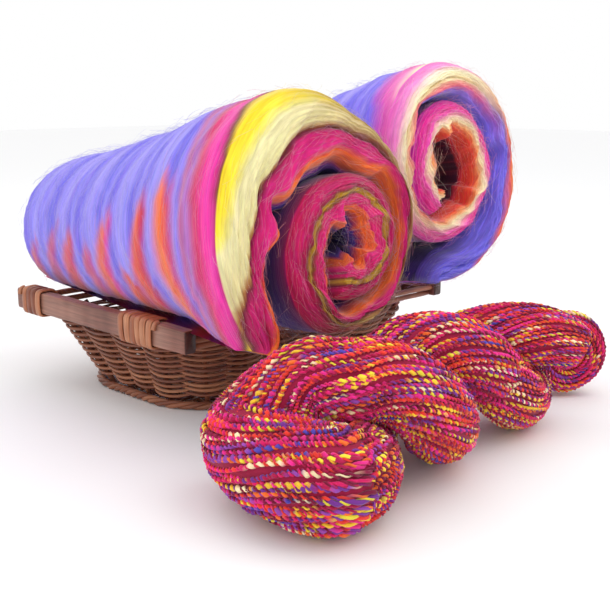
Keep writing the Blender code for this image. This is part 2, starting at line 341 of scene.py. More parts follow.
def build_basket():
    for k in range(WEAVERS):
        n = STAKES * WEAVER_TURNS * 12
        along = np.linspace(0.05, STAKES * WEAVER_TURNS - 0.05, n)
        turn = along / STAKES
        swing = -np.cos(math.pi * along)
        swing = np.sign(swing) * np.abs(swing) ** 0.8 * WEAVE_SWING
        height = ROW_FIRST + ROW_PITCH * (WEAVER_TURNS * k + turn) + 0.0003 * wander(turn * 2, 40 + k)
        path = wall(turn, height, swing)
        radius = WEAVER_R + 0.00012 * wander(turn * 3, 60 + k)
        v, f, caps, lay = tube(path, radius, 9)
        lay[:, 0] += 3.1 * k
        obj = make_mesh(f"woven_rod_{k + 1:02d}", v, f, wicker_mat, "basket",
                        wicker_tint(n, 9, 200 + k), lay, caps)
        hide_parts(f"weaver_{k + 1:02d}")
    for j in range(STAKES):
        h = np.linspace(STAKE_LOW, STAKE_TOP, 16)
        path = wall(np.full(16, j / STAKES), h)
        path[:, 2] = np.maximum(path[:, 2], 0.0018)
        v, f, caps, lay = tube(path, STAKE_R + 0.00015 * wander(h * 20, j), 8)
        lay[:, 0] += 1.7 * j
        obj = make_mesh(f"upright_{j + 1:02d}", v, f, wicker_mat, "basket",
                        wicker_tint(16, 8, 300 + j, -0.15), lay, caps)
        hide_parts(f"stake_{j + 1:02d}")
    build_foot()
    build_border()


def build_foot():
    """A wale of three rods twisted round each other, and a flat woven bottom."""
    pile = Pile()
    n = 44 * 12
    u = np.arange(n) / n
    base, out = outline(BASE_LINE, u)
    for k in range(3):
        w = TAU * (u * STAKES + k / 3)
        off = WALE_OUT + 0.0020 * np.cos(w)
        z = WALE_Z + 0.0019 * np.sin(w)
        path = np.column_stack([base + out * off[:, None], z])
        v, f, caps, lay = tube(path, WALE_R + 0.0001 * wander(u * 5, 70 + k), 8, closed=True)
        lay[:, 0] += 2.3 * k
        pile.add(v, f, wicker_tint(n, 8, 400 + k, 0.05).reshape(-1, 3), lay)
    obj = pile.build("foot_twist", wicker_mat, "basket")
    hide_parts("foot_wale")

    pile = Pile()
    half_x, half_y = MAT_HALF
    radius = MAT_CORNER

    def reach(y):
        over = max(0.0, abs(y) - (half_y - radius))
        return half_x - radius + math.sqrt(max(radius ** 2 - over ** 2, 0.0))

    sticks = np.linspace(-MAT_STICK_REACH, MAT_STICK_REACH, MAT_STICKS)
    for i, x in enumerate(sticks):
        over = max(0.0, abs(x) - (half_x - radius))
        hy = half_y - radius + math.sqrt(max(radius ** 2 - over ** 2, 0.0)) - 0.001
        y = np.linspace(-hy, hy, 24)
        path = np.column_stack([np.full(24, x), y, np.full(24, MAT_Z)])
        v, f, caps, lay = tube(path, 0.0016, 8)
        lay[:, 0] += 5 + i
        pile.add(v, f, wicker_tint(24, 8, 500 + i).reshape(-1, 3), lay, caps)
    for r in range(MAT_ROWS):
        y = -half_y + 0.0024 + (2 * half_y - 0.0048) * r / (MAT_ROWS - 1)
        hx = reach(y) - 0.0012
        n = 120
        x = np.linspace(-hx, hx, n)
        spacing = 2 * MAT_STICK_REACH / (MAT_STICKS - 1)
        phase = (x + MAT_STICK_REACH) / spacing * math.pi + (math.pi if r % 2 else 0)
        z = MAT_Z + 0.0013 * np.cos(phase)
        path = np.column_stack([x, np.full(n, y), z])
        v, f, caps, lay = tube(path, 0.00142, 7)
        lay[:, 0] += 11 + r
        pile.add(v, f, wicker_tint(n, 7, 540 + r, 0.05).reshape(-1, 3), lay, caps)
    obj = pile.build("woven_bottom", wicker_mat, "basket")
    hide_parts("base_mat")


def build_border():
    for side, sign in (("front", -1), ("back", 1)):
        for level, (y, z) in BORDER_RODS:
            n = 90
            u = np.linspace(0, 1, n)
            x = np.linspace(-BORDER_REACH, BORDER_REACH, n)
            seed = 600 + 7 * (sign > 0) + (level == "upper")
            out, up = 0.0004 * wander(u, seed), 0.0005 * wander(u, seed + 20)
            path = np.column_stack([x, sign * (y + out), z + up])
            v, f, caps, lay = tube(path, BORDER_R - 0.0005 * u + 0.0001 * wander(u * 3, seed), 12)
            lay[:, 0] += seed
            obj = make_mesh(f"rim_{side}_{level}", v, f, wicker_mat, "basket",
                            wicker_tint(n, 12, seed, 0.05), lay, caps)
            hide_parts(f"border_{side}_{level}")
    for side, sign in (("left", -1), ("right", 1)):
        n = 60
        u = np.linspace(0, 1, n)
        end_x, half, end_z = END_ROD
        y = np.linspace(-half, half, n)
        x = sign * (end_x - 0.0003 * np.abs(wander(u, 640)))
        path = np.column_stack([x, y, end_z + 0.0004 * wander(u, 641)])
        v, f, caps, lay = tube(path, 0.0029, 12)
        lay[:, 0] += 650 + sign
        tint = wicker_tint(n, 12, 650 + sign, 0.0)
        obj = make_mesh(f"rim_end_{side}", v, f, wicker_mat, "basket", tint, lay, caps)
        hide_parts(f"border_end_{side}")
        build_bar(side, sign)
        build_lashing(side, sign, "front", -0.088, -0.042, 6)
        build_lashing(side, sign, "back", 0.084, 0.116, 4)


def build_bar(side, sign):
    """A hand-cut slat: worn edges, a slightly uneven face, a top face painted lighter as painted light from
    above, and both ends painted dark as painted shade.
    """
    n, m = 90, 32
    cx, cz = sign * BAR_CENTRE[0], BAR_CENTRE[1]
    hx, hz = BAR_HALF
    ang = TAU * (np.arange(m) + 0.5) / m
    power = 0.22
    sx = np.sign(np.cos(ang)) * np.abs(np.cos(ang)) ** power
    sz = np.sign(np.sin(ang)) * np.abs(np.sin(ang)) ** power
    u = np.concatenate([[0, 0, 0.003], np.linspace(0.006, 0.994, n - 6), [0.997, 1, 1]])
    y = -BAR_LENGTH / 2 + BAR_LENGTH * u
    shrink = np.ones(n)
    shrink[[0, -1]] = 0.0
    shrink[[1, -2]] = 0.93
    shrink[[2, -3]] = 0.98
    seed = 700 + sign
    wear = 1 - 0.02 * (1 + wander(u * 3, seed))
    x = cx + sx[None] * hx * (shrink * wear)[:, None]
    z = cz + sz[None] * hz * (shrink * (1 - 0.015 * (1 + wander(u * 4, seed + 3))))[:, None]
    verts = np.stack([x, np.repeat(y[:, None], m, 1), z], -1)
    lay = np.stack([np.repeat(y[:, None], m, 1) + 9 * sign, x, z], -1)
    edge = np.maximum(np.abs(sx), 0) ** 8 * np.abs(sz) ** 8
    tone = 0.40 + 0.16 * wander(u * 2, seed + 5)[:, None]
    tone = tone + 0.10 * wander(ang / TAU * 2, seed + 6)[None] + 0.22 * edge[None]
    # the top face is painted 0.30 lighter: painted light falling from above
    tone = tone + 0.30 * (sz[None] > 0.98)
    col = ramp(np.clip(tone, 0, 1), BAR_WOOD)
    # the two rows at each end of the slat are painted dark: painted shade on the cut ends
    dark = srgb(70, 42, 36)
    col[:2], col[-2:] = dark, dark
    obj = make_mesh(f"slat_{side}", verts, grid_faces(n, m), wood_mat, "basket", col, lay)
    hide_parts(f"handle_bar_{side}")


def lash_loop(sign):
    """The closed line that a turn of cane follows round the bar and the rod behind it."""
    low, top = 0.0707, 0.0913
    grow = 0.0012
    corners = [(0.1693, low), (0.1693, top), (0.1560, top), (0.1506, 0.0840), (0.1506, 0.0800), (0.1560, low)]
    pts = []
    centre = np.array([0.1605, 0.081])
    corners = np.array(corners)
    for i in range(len(corners)):
        a, b = corners[i], corners[(i + 1) % len(corners)]
        steps = max(2, int(np.linalg.norm(b - a) / 0.0022))
        for s in range(steps):
            q = a + (b - a) * s / steps
            pts.append(q)
    pts = np.array(pts)
    out = pts - centre
    out /= np.linalg.norm(out, axis=1)[:, None]
    pts = pts + out * grow
    for _ in range(2):
        pts = 0.25 * np.roll(pts, 1, 0) + 0.5 * pts + 0.25 * np.roll(pts, -1, 0)
    pts = pts + out * 0.0007
    return np.column_stack([sign * pts[:, 0], np.zeros(len(pts)), pts[:, 1]])


def build_lashing(side, sign, place, start, end, turns):
    pile = Pile()
    pitch = (end - start) / turns
    loop = lash_loop(sign)
    m = len(loop)
    for t in range(turns):
        rng = np.random.default_rng(800 + t + 20 * (sign > 0) + (50 if place == "back" else 0))
        path = loop.copy()
        u = np.arange(m) / m
        slant = 0.0009 * np.sin(TAU * u + rng.random() * 6)
        path[:, 1] = start + pitch * (t + 0.5) + slant + 0.0003 * rng.standard_normal()
        tan = np.roll(path, -1, 0) - np.roll(path, 1, 0)
        tan /= np.linalg.norm(tan, axis=1)[:, None]
        across = np.array([0, 1.0, 0])
        out = np.cross(tan, across)
        if out[0].dot(path[0] - path.mean(0)) < 0:
            out = -out
        sides = 10
        ang = TAU * np.arange(sides) / sides
        wide = 0.46 * pitch * (1 + 0.05 * rng.standard_normal())
        thick = 0.00135
        ca, sa = np.cos(ang), np.sin(ang)
        ca = np.sign(ca) * np.abs(ca) ** 0.75
        verts = path[:, None] + wide * ca[None, :, None] * across + thick * sa[None, :, None] * out[:, None]
        step = np.linalg.norm(np.roll(path, -1, 0) - path, axis=1)
        along = np.cumsum(step)
        lay = np.stack([np.repeat(along[:, None] + t * 3.3, sides, 1), np.repeat(wide * ca[None], m, 0),
                        np.repeat(thick * sa[None], m, 0)], -1)
        tone = np.clip(0.5 + 0.18 * rng.standard_normal() + 0.1 * wander(u * 2, 900 + t), 0, 1)
        col = ramp(tone, [(0, (120, 62, 42)), (0.5, (164, 98, 66)), (1, (204, 144, 104))])
        pile.add(verts, grid_faces(m, sides, True), np.repeat(col[:, None], sides, 1), lay)
    tail = [(sign * 0.1660, 0, 0.0920), (sign * 0.1695, 0.0, 0.0910), (sign * 0.1716, 0, 0.0860)]
    y_end = start - 0.0035 if place == "front" else end + 0.0030
    tail = smooth_path([(x, y_end, z) for x, _, z in tail], 14)
    v, f, caps, lay = tube(tail, 0.0021, 10)
    pile.add(v, f, np.repeat(srgb(176, 116, 84)[None], len(v), 0), lay, caps)
    obj = pile.build(f"cane_wrap_{side}_{place}", cane_mat, "basket")
    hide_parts(f"lashing_{side}_{place}")


# ---------------------------------------------------------------- wool batts
BATT_TURNS = 1.8
WEB_END = 1.97
# turning way, starting angle, where the inner roll lies (across, up), its radius at its start and end
WIND_LEFT = (-1, -120, 0.30, -0.26, 0.72, 0.18)
WIND_RIGHT = (1, -105, -0.06, 0.06, 0.68, 0.28)


def spiral_edge(turn, wind):
    """x, z of the web's outer edge and its outward direction, for a roll of radius 1."""
    way, start, shift_x, shift_z, outer, inner = wind
    ease = np.clip((turn - 0.40) / 0.62, 0, 1)
    ease = ease * ease * (3 - 2 * ease)
    radius = 1.0 - (1.0 - outer) * ease - (outer - inner) * np.maximum(0.0, turn - 1.0) / BATT_TURNS
    angle = math.radians(start) + way * TAU * turn
    return shift_x * ease + radius * np.cos(angle), shift_z * ease + radius * np.sin(angle), angle


BATT_LEFT = (
    (-0.226, -0.107, 0.1855, 0.0990), (-0.150, -0.105, 0.1780, 0.0940),
    (-0.070, -0.103, 0.1660, 0.0825), (0.020, -0.103, 0.1555, 0.0720),
    (0.100, -0.104, 0.1495, 0.0640), (0.136, -0.104, 0.1450, 0.0570),
)
BATT_RIGHT = (
    (-0.190, 0.1035, 0.2040, 0.1050), (-0.120, 0.1015, 0.1955, 0.1005),
    (-0.050, 0.099, 0.1820, 0.0910), (0.030, 0.098, 0.1660, 0.0795),
    (0.108, 0.098, 0.1545, 0.0675), (0.132, 0.098, 0.1520, 0.0645),
)

# Colours through the web, from its outer side to its inner side: on the first part of the outer wrap,
# on the rest of it, and on the inner roll. The dark stops where two layers meet sit in the grooves of the
# near end and are painted shade. The darkest stops at the inner side are painted shade in the hollow of the
# roll. The ochre on the inner roll is the yellow layer thinned and also darkened as painted shade.
WEB_LEFT = [
    (0.00, (246, 214, 44)), (0.08, (250, 226, 60)), (0.13, (238, 226, 120)),
    (0.18, (238, 230, 176)), (0.38, (230, 220, 160)), (0.43, (176, 120, 70)),
    (0.455, (120, 40, 60)), (0.50, (200, 36, 112)), (0.68, (222, 44, 130)), (0.735, (228, 76, 96)),
    (0.765, (246, 118, 52)), (0.87, (244, 110, 60)), (0.905, (170, 80, 140)),
    (0.94, (90, 64, 160)), (1.0, (44, 32, 92)),
]
LATE_LEFT = [
    (0.00, (160, 128, 50)), (0.12, (176, 138, 60)), (0.30, (206, 178, 116)), (0.40, (150, 90, 60)),
    (0.455, (120, 40, 60)), (0.50, (200, 36, 112)), (0.68, (222, 44, 130)), (0.74, (246, 118, 52)),
    (0.87, (244, 110, 60)), (0.92, (150, 70, 140)), (1.0, (60, 40, 110)),
]
ROLL_LEFT = [
    (0.00, (178, 30, 84)), (0.10, (200, 36, 104)), (0.26, (206, 40, 110)), (0.31, (130, 50, 60)),
    (0.34, (176, 132, 36)), (0.40, (204, 160, 56)), (0.43, (140, 84, 50)), (0.47, (220, 44, 120)),
    (0.66, (228, 56, 136)), (0.70, (240, 110, 80)), (0.80, (246, 118, 52)), (0.84, (176, 70, 110)),
    (0.87, (84, 62, 150)), (1.0, (36, 26, 70)),
]
WEB_RIGHT = [
    (0.00, (186, 120, 116)), (0.08, (214, 150, 110)), (0.20, (246, 170, 100)),
    (0.30, (238, 110, 80)), (0.42, (190, 110, 180)), (0.50, (128, 116, 232)),
    (0.85, (120, 108, 230)), (0.95, (90, 70, 170)), (1.0, (60, 40, 110)),
]
LATE_RIGHT = [
    (0.00, (232, 100, 190)), (0.12, (244, 150, 210)), (0.20, (252, 220, 210)),
    (0.30, (254, 246, 206)), (0.48, (252, 230, 180)), (0.56, (246, 170, 150)),
    (0.68, (240, 110, 140)), (0.76, (150, 120, 226)), (0.92, (120, 110, 230)),
    (1.0, (80, 50, 130)),
]
ROLL_RIGHT = [
    (0.00, (214, 60, 170)), (0.12, (236, 50, 160)), (0.34, (246, 100, 190)),
    (0.46, (252, 214, 200)), (0.58, (254, 236, 190)), (0.68, (250, 170, 110)),
    (0.78, (240, 84, 60)), (0.92, (190, 50, 60)), (1.0, (60, 16, 40)),
]
# how far out of round each roll is pressed: direction in degrees, factor
SQUASH_LEFT = (
    (-180, 1.0), (-90, 1.0), (-62, 1.01), (-41, 1.06), (-20, 1.07), (0, 1.06), (20, 1.02),
    (37, 0.95), (65, 0.90), (91, 0.955), (111, 1.01), (123, 1.03), (150, 1.01), (180, 1.0),
)
SQUASH_RIGHT = (
    (-180, 0.99), (-90, 1.0), (-60, 1.05), (-30, 1.07), (0, 1.05), (20, 1.0), (45, 0.94),
    (75, 0.97), (105, 1.03), (130, 1.05), (160, 0.99), (180, 0.99),
)


# grooves between the layers in the near end: depth in the web, depth of the groove, width
WRAP_GROOVES = ((0.445, 0.0040, 0.030), (0.735, 0.0022, 0.025), (0.90, 0.0030, 0.03), (0.20, 0.0012, 0.03))
ROLL_GROOVES = ((0.25, 0.0030, 0.03), (0.41, 0.0024, 0.025), (0.665, 0.0018, 0.025), (0.86, 0.0030, 0.03))


def station(stations, y):
    table = np.array(stations)
    return [np.interp(y, table[:, 0], table[:, k]) for k in (1, 2, 3)]


def build_batt(name, node_name, body, stations, wind, layers, skin, squash, core, hang, seed):
    """The web as one long sheet with thickness, rolled up: for each step along the spiral, a
    loop round the web's section. The near end shows the layers as soft, uneven ridges.
    core is the middle of the inner roll and how far it closes; hang is how much thinner the
    free edge is and how far it hangs across and down, all for a roll of radius 1."""
    y_near, y_far = stations[0][0], stations[-1][0]
    steps = 580
    turn = np.linspace(0, WEB_END, steps)
    n_out, n_end, n_in, n_far = 130, 96, 20, 26
    # the section loop: s is depth in the web, v runs from the near end to the far end
    s = np.concatenate([np.zeros(n_out), np.linspace(0, 1, n_far + 2)[1:-1], np.ones(n_in),
                        np.linspace(1, 0, n_end + 2)[1:-1]])
    v = np.concatenate([np.linspace(0, 1, n_out), np.ones(n_far), np.linspace(1, 0, n_in), np.zeros(n_end)])
    m = len(s)
    T, S = np.meshgrid(turn, s, indexing="ij")
    V = np.broadcast_to(v, T.shape)
    first = 1 - smoothstep(T, 0.78, 1.04)  # 1 on the wide outer wrap, 0 on the inner roll

    # the inner layers buckle as the web is rolled, so they ruffle
    wave = np.sin(TAU * (3.6 * T + 0.35 * wander(T * 2.2, seed, (1, 2)) - 0.9 * (T - 0.9).clip(0)))
    wave = np.sign(wave) * np.abs(wave) ** 0.8 * (0.75 + 0.35 * wander(T * 2.6, seed + 1, (1, 2)))
    amp = (0.120 * first + 0.130 * (1 - first)) * np.exp(-((S - 0.84) / 0.26) ** 2)
    amp = amp + 0.012 * np.exp(-((S - 0.40) / 0.2) ** 2)
    deep = S + amp * wave + 0.02 * wander(T * 3, seed + 2, (1, 2, 3)) * np.sin(math.pi * S)

    # how far the end stands back: a rounded shoulder, a soft lip and a dip at the inner side
    shoulder = 0.017 * (1 - S / 0.30).clip(0) ** 1.8
    dip = 0.026 * smoothstep(S, 0.62, 1.0) ** 1.3
    inner = 0.010 * (1 - S / 0.35).clip(0) ** 2 + 0.020 * smoothstep(S, 0.62, 1.0) ** 1.4
    back = first * (shoulder + dip) + (1 - first) * inner
    for place, depth, wide in WRAP_GROOVES:
        back = back + first * depth * np.exp(-((S - place) / wide) ** 2)
    for place, depth, wide in ROLL_GROOVES:
        back = back + (1 - first) * depth * np.exp(-((S - place) / wide) ** 2)
    back = back + 0.0006 * np.cos(TAU * S * 17 + 3 * wander(T * 2, seed + 3))
    back = back + 0.0030 * wander(T * 5 + S * 1.2, seed + 4) * np.sin(math.pi * S)
    back = back - 0.0030 * wave * np.exp(-((S - 0.80) / 0.14) ** 2)
    near_y = y_near + back
    bulge = 1 - np.sin(math.pi * np.clip(S, 0.02, 0.98))
    far_y = y_far - 0.022 * bulge + 0.002 * wander(T * 5 + S, seed + 5)
    Y = near_y + (far_y - near_y) * V

    cx, cz, R = station(stations, Y)
    ox, oz, ang = spiral_edge(T, wind)
    ix, iz, _ = spiral_edge(T + 1.0, wind)
    core_x, core_z, fill = core
    grow = fill * smoothstep(T, 0.93, 1.12)  # the inner roll closes up round its own middle
    ix = ix + (core_x - ix) * grow + 0.020 * np.cos(ang) * (1 - grow)
    iz = iz + (core_z - iz) * grow + 0.020 * np.sin(ang) * (1 - grow)
    slim = (1 - hang[0] * (1 - smoothstep(T, 0.0, 0.28))) * np.sqrt(1 - (1 - T / 0.07).clip(0) ** 2)
    free = (1 - T / 0.16).clip(0) ** 2 * (1 - smoothstep(Y, y_near + 0.03, y_near + 0.12))
    ox, oz = ox + hang[1] * free, oz + hang[2] * free
    x, z = ox + (ix - ox) * deep * slim, oz + (iz - oz) * deep * slim
    # the roll is pressed out of round towards its near end
    close = 1 - smoothstep(Y, y_near + 0.02, y_near + 0.20)
    table = np.array(squash)
    theta = np.degrees(np.arctan2(z, x))
    press = 1 + (np.interp(theta, table[:, 0], table[:, 1]) - 1) * close
    x, z = x * press, z * press
    # soft unevenness of the rolled body: shallow folds round it and a gathered look
    rel = Y - y_near
    swell = 1 + 0.010 * wander(Y * 9 + 0.25 * np.sin(ang), seed + 6) * (1 - S)
    folds = wander(Y * 34 + 0.9 * wander(T * 1.3, seed + 7), seed + 8)
    swell = swell + 0.007 * folds * (1 - S) * smoothstep(rel, 0.01, 0.04)
    swell = swell - 0.024 * (1 - rel / 0.030).clip(0) ** 2 * (1 - S) * first
    X = cx + R * x * swell
    Z = cz + R * z * swell
    verts = np.stack([X, Y, Z], -1)

    web, late, roll = layers
    bare = 1 - smoothstep(T, 0.02, 0.21)  # the first layers stop short of the free edge
    stray = S + 0.010 * wander(T * 16, seed + 9) + 0.44 * bare * (1 - S)
    colour = mix(ramp(stray, web), ramp(stray, late), smoothstep(T, 0.30, 0.52))
    colour = mix(ramp(stray, roll), colour, first)
    colour = colour * (1 + 0.08 * wander(T * 9 + S * 4, seed + 10))[..., None]
    outer = skin(np.degrees(ang), rel + 0.0020 * wander(T * 6, seed + 11) + 0.018 * bare, seed)
    hidden = mix(srgb(150, 26, 84), srgb(70, 44, 130), smoothstep(rel, 0.0, 0.030))
    outer = mix(outer, hidden, smoothstep(T, 0.74, 0.86))
    colour = np.where((S < 1e-6)[..., None], outer, colour)

    seg = np.sqrt(np.diff(X, axis=0) ** 2 + np.diff(Z, axis=0) ** 2)
    run = np.concatenate([np.zeros((1, m)), np.cumsum(seg, 0)])
    lay = np.stack([run[:, :1] * 0.5 + run * 0.5, Y + S * 0.03, S * 0.05 + 0 * Y], -1)
    faces = grid_faces(steps, m)
    caps = (np.arange(m)[::-1], (steps - 1) * m + np.arange(m))
    obj = make_mesh(name, verts, faces, wool_mat, body, colour, lay, caps)
    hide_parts(node_name)
    build_fuzz(name + "_fuzz", verts, colour, body, seed, n_out, n_end, m)
    return obj


def build_fuzz(name, verts, colour, body, seed, n_out, n_end, m):
    """Loose fibres that stand off the wool."""
    rng = np.random.default_rng(seed + 77)
    steps = verts.shape[0]
    count = 3600
    pile = Pile()
    centre = verts[: int(steps * 0.55)].reshape(-1, 3).mean(0)
    for i in range(count):
        if i % 5 < 3:
            a, b = rng.integers(6, int(steps * 0.56) - 6), rng.integers(2, n_out - 2)
        else:
            a, b = rng.integers(6, steps - 12), m - rng.integers(2, n_end - 4)
        p = verts[a, b]
        along = verts[a + 3, b] - verts[a - 3, b]
        along /= np.linalg.norm(along) + 1e-9
        side = verts[a, (b + 2) % m] - verts[a, b - 2]
        side /= np.linalg.norm(side) + 1e-9
        out = np.cross(side, along)
        out /= np.linalg.norm(out) + 1e-9
        if out.dot(p - centre) < 0:
            out = -out
        if rng.random() < 0.5:
            along = -along
        length = 0.010 + 0.016 * rng.random()
        lift = 0.0012 + 0.0040 * rng.random() ** 2
        t = np.linspace(0, 1, 6)[:, None]
        bend = side * (rng.standard_normal() * 0.25)
        arch = lift * np.sin(math.pi * t * (0.55 + 0.45 * rng.random())) - 0.0004
        path = p + (along + bend) * length * t + out * arch
        path += side * 0.0012 * np.sin(t * 6 + rng.random() * 6) * t
        v, f, _, lay = tube(path, 0.00007, 3)
        col = colour[a, b] * 0.7 + 0.3
        pile.add(v, f, np.repeat(col[None], len(v), 0), lay)
    obj = pile.build(name, wool_mat, body)


# bands round the near end of each roll: distance back in mm, colour
BANDS_LEFT = (
    (0, (250, 222, 50)), (10, (248, 214, 44)), (13, (200, 160, 40)), (15.5, (120, 84, 40)),
    (18, (160, 36, 84)), (21, (214, 40, 140)), (26, (240, 52, 168)), (34, (240, 50, 160)),
    (40, (226, 44, 124)), (44, (210, 54, 106)), (48, (196, 80, 140)), (54, (176, 116, 200)),
    (60, (196, 104, 160)), (66, (146, 114, 220)), (71, (112, 100, 228)),
)
BANDS_RIGHT = (
    (0, (252, 236, 190)), (6, (250, 190, 200)), (12, (240, 120, 190)), (20, (226, 90, 180)),
    (30, (190, 100, 210)), (38, (130, 116, 236)), (46, (116, 106, 230)),
)
# stripes that the lower side shows: distance back in mm, mm further back for each degree down,
# half width, angle where it starts, and the colours of its near and far edges
STRIPES = (
    (88, 0.20, 12, 152, (216, 60, 110), (246, 112, 44)),
    (122, 0.60, 9, 160, (204, 36, 84), (230, 90, 66)),
    (146, 0.60, 12, 200, (200, 40, 84), (228, 92, 66)),
    (180, 0.76, 10, 166, (222, 40, 140), (230, 104, 80)),
    (210, 0.66, 6, 184, (196, 80, 150), (206, 104, 140)),
    (240, 0.88, 9, 176, (204, 50, 96), (216, 96, 110)),
    (272, 0.92, 7, 172, (186, 80, 150), (196, 96, 140)),
    (306, 0.92, 7, 186, (190, 70, 140), (206, 96, 120)),
)


def make_skin(bands, shift):
    """Body colour of a batt from the angle round it and the distance from its near end."""
    at = np.array([b[0] for b in bands]) / 1000
    cols = np.array([srgb(*b[1]) for b in bands])

    def skin(angle, along, seed):
        low = 90 + np.abs((angle + 90) % 360 - 180)  # 90 at the top, 270 underneath
        bend = 0.0000055 * np.clip(low - 170, -55, 75) ** 2
        place = along - bend * (1 - smoothstep(along, 0.07, 0.12))
        near = np.stack([np.interp(place, at, cols[:, k]) for k in range(3)], -1)
        tone = 0.5 + 0.5 * wander(along * 17 + 0.15 * np.sin(np.radians(low)), seed + 20)
        blue = mix(srgb(112, 100, 228), srgb(160, 148, 244), tone)
        col = blue
        for back, lean, half, start, first_col, last_col in STRIPES:
            down = np.maximum(low - 170, -20)
            half_w = (half + 0.10 * np.maximum(low - start, 0)) / 1000
            off = (along - (back + shift + lean * down) / 1000) / half_w
            wob = 5 * wander(along * 40, seed + back)
            show = np.exp(-np.abs(off) ** 3.2) * smoothstep(low + wob, start - 3, start + 15)
            col = mix(col, mix(srgb(*first_col), srgb(*last_col), smoothstep(off, -0.6, 0.3)), show)
        col = mix(near, col, smoothstep(place, at[-1] - 0.006, at[-1]))
        return col * (1 + 0.07 * wander(along * 60, seed + 21))[..., None]

    return skin


# ---------------------------------------------------------------- skein
HANK_LINE = ((-0.2082, -0.2895, 0.0359), (-0.1701, -0.3084, 0.0284), (-0.0848, -0.2950, 0.0284),
             (-0.0039, -0.2788, 0.0269), (0.0822, -0.3117, 0.0257))
HANK_SPREAD, HANK_PITCH, HANK_PHASE, HANK_FOLD, HANK_RISE = 0.0010, 0.2108, 3.30, 0.020, 0.1034
PLY_PITCH, LOOP_PLY_PITCH = 0.0072, 0.0088  # length of one turn of the two plies
YARN_LAY = -15.6  # turn of the yarns round a strand, in radians a metre: it undoes the strands' twist


def hank_station(t, turn):
    table = np.array(HANK_LINE)
    runs = np.linalg.norm(np.diff(table[:, :2], axis=0), axis=1)
    at = np.concatenate([[0], np.cumsum(runs)]) / runs.sum()
    x, y, r = [np.interp(t, at, table[:, k]) for k in range(3)]
    angle = HANK_PHASE + turn + TAU * (x - table[0, 0]) / HANK_PITCH
    reach = r + HANK_SPREAD
    z = 0.0003 + r + reach * max(abs(math.sin(angle)), min(1.0, t / HANK_RISE))
    return np.array([x, y + reach * math.cos(angle), z + reach * math.sin(angle)]), r


def hank_path():
    """Middle line and radius of the hank: up one strand, round the fold, back along the other."""
    shares = np.linspace(0, 1, 33)
    near = [hank_station(t, 0.0) for t in shares[::-1]]
    far = [hank_station(t, math.pi) for t in shares]
    start, end, r0 = near[-1][0], far[0][0], far[0][1]

    def unit(v):
        return v / np.linalg.norm(v)

    ahead = np.array([-1.4053, -0.7872, 0])
    leave = start + unit(unit(start - near[-2][0]) + ahead) * HANK_FOLD
    arrive = end + unit(unit(end - far[1][0]) + ahead) * HANK_FOLD
    fold = []
    for i in range(1, 12):
        t = i / 12
        p = (1 - t) ** 3 * start + 3 * (1 - t) ** 2 * t * leave + 3 * (1 - t) * t * t * arrive + t ** 3 * end
        p[2] = max(p[2], r0 + 0.0003)
        fold.append((p, r0))
    both = near + fold + far
    pts, radii = np.array([b[0] for b in both]), np.array([b[1] for b in both])
    for i, share in enumerate((0.72, 0.86, 0.95)):
        radii[i] *= share
        radii[-1 - i] *= share
    return pts, radii


YARN = [
    ((128, 22, 60), 9), ((170, 26, 74), 11), ((238, 48, 144), 15), ((220, 34, 104), 12),
    ((238, 64, 52), 19), ((244, 112, 48), 10), ((248, 200, 56), 11), ((240, 222, 64), 7),
    ((248, 226, 180), 7), ((124, 54, 150), 9), ((156, 74, 176), 5), ((84, 70, 176), 2),
]


def ply_colours(n, step, seed, dark=False):
    """Colours along one ply: runs of dyed fibre that change every few centimetres."""
    rng = np.random.default_rng(seed)
    table = np.array([srgb(*c) for c, _ in YARN])
    weights = np.array([w for _, w in YARN], float)
    if dark:
        weights *= np.array([3.2, 3, 1.2, 2, 1.2, 0.8, 0.5, 0.4, 0.4, 1.5, 0.8, 0.8])
    weights /= weights.sum()
    out = np.empty((n, 3))
    i = 0
    while i < n:
        run = int((0.008 + 0.040 * rng.random() ** 1.5) / step) + 1
        out[i:i + run] = table[rng.choice(len(table), p=weights)] * (0.85 + 0.3 * rng.random())
        i += run
    width = 5
    kernel = np.ones(width) / width
    padded = np.pad(out, ((width // 2, width // 2), (0, 0)), "edge")
    return np.stack([np.convolve(padded[:, k], kernel, "valid") for k in range(3)], -1)


